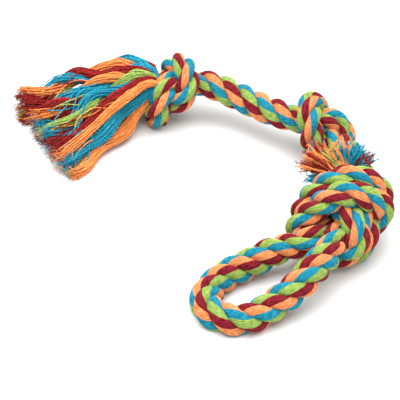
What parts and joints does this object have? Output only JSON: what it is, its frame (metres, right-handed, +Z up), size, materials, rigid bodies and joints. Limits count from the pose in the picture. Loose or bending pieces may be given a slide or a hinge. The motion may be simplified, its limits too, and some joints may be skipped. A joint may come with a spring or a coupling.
{
  "type": "rope dog toy",
  "caption": "Knotted cotton rope dog toy with a frayed tassel at one end, overhand knots along the rope and a doubled knot with a handle loop at the other.",
  "frame": {"origin": "middle of the toy's outline on the floor it lies on", "axes": "+X to the right and +Y away as the toy lies with its tassel at the back left and its loop at the front, +Z up"},
  "size_m": [0.2766, 0.2748, 0.0637],
  "materials": {
    "laid_rope": "matte laid cotton of four colours",
    "orange_yarn": "matte cotton yarn",
    "blue_yarn": "matte cotton yarn",
    "green_yarn": "matte cotton yarn",
    "maroon_yarn": "matte cotton yarn"
  },
  "bodies": {
    "handle_knot": {"handle_knot_standing_pass": "laid_rope", "handle_knot_returning_pass": "laid_rope", "link_rope": "laid_rope", "tuft_outer_1": "blue_yarn", "tuft_outer_2": "maroon_yarn", "tuft_outer_3": "orange_yarn", "tuft_outer_4": "orange_yarn", "tuft_outer_5": "blue_yarn", "tuft_outer_6": "blue_yarn", "tuft_outer_7": "maroon_yarn", "tuft_inner_1": "orange_yarn", "tuft_inner_2": "orange_yarn", "tuft_inner_3": "blue_yarn", "tuft_inner_4": "maroon_yarn", "tuft_inner_5": "green_yarn"},
    "handle_loop": {"handle_loop": "laid_rope"},
    "middle_knot": {"middle_knot": "laid_rope"},
    "main_rope": {"main_rope": "laid_rope"},
    "end_knot": {"end_knot": "laid_rope"},
    "tassel": {"tassel_neck": "laid_rope", "tassel_low_1": "maroon_yarn", "tassel_low_2": "orange_yarn", "tassel_low_3": "green_yarn", "tassel_low_4": "orange_yarn", "tassel_mid_1": "green_yarn", "tassel_mid_2": "orange_yarn", "tassel_mid_3": "maroon_yarn", "tassel_mid_4": "blue_yarn", "tassel_top_1": "maroon_yarn", "tassel_top_2": "blue_yarn", "tassel_top_3": "green_yarn", "tassel_top_4": "maroon_yarn"}
  },
  "joints": [
    {"name": "loop_lift", "type": "hinge", "parent": "handle_knot", "child": "handle_loop", "pos_m": [0.0796, -0.06515, 0.02418], "axis": [-0.8685, 0.48, -0.1236], "range_deg": [-12, 60]},
    {"name": "link_swing", "type": "hinge", "parent": "handle_knot", "child": "middle_knot", "pos_m": [0.1137, 0.03279, 0.02424], "axis": [0, 0, 1], "range_deg": [-35, 16]},
    {"name": "rope_swing", "type": "hinge", "parent": "middle_knot", "child": "main_rope", "pos_m": [0.0655, 0.08225, 0.026], "axis": [0, 0, 1], "range_deg": [-40, 22]},
    {"name": "rope_lift", "type": "hinge", "parent": "main_rope", "child": "end_knot", "pos_m": [0.01636, 0.11708, 0.02745], "axis": [0.4197, 0.9077, 0], "range_deg": [-20, 40]},
    {"name": "tassel_lift", "type": "hinge", "parent": "end_knot", "child": "tassel", "pos_m": [-0.03391, 0.11157, 0.0194], "axis": [-0.1846, 0.9828, 0], "range_deg": [-10, 35]}
  ]
}
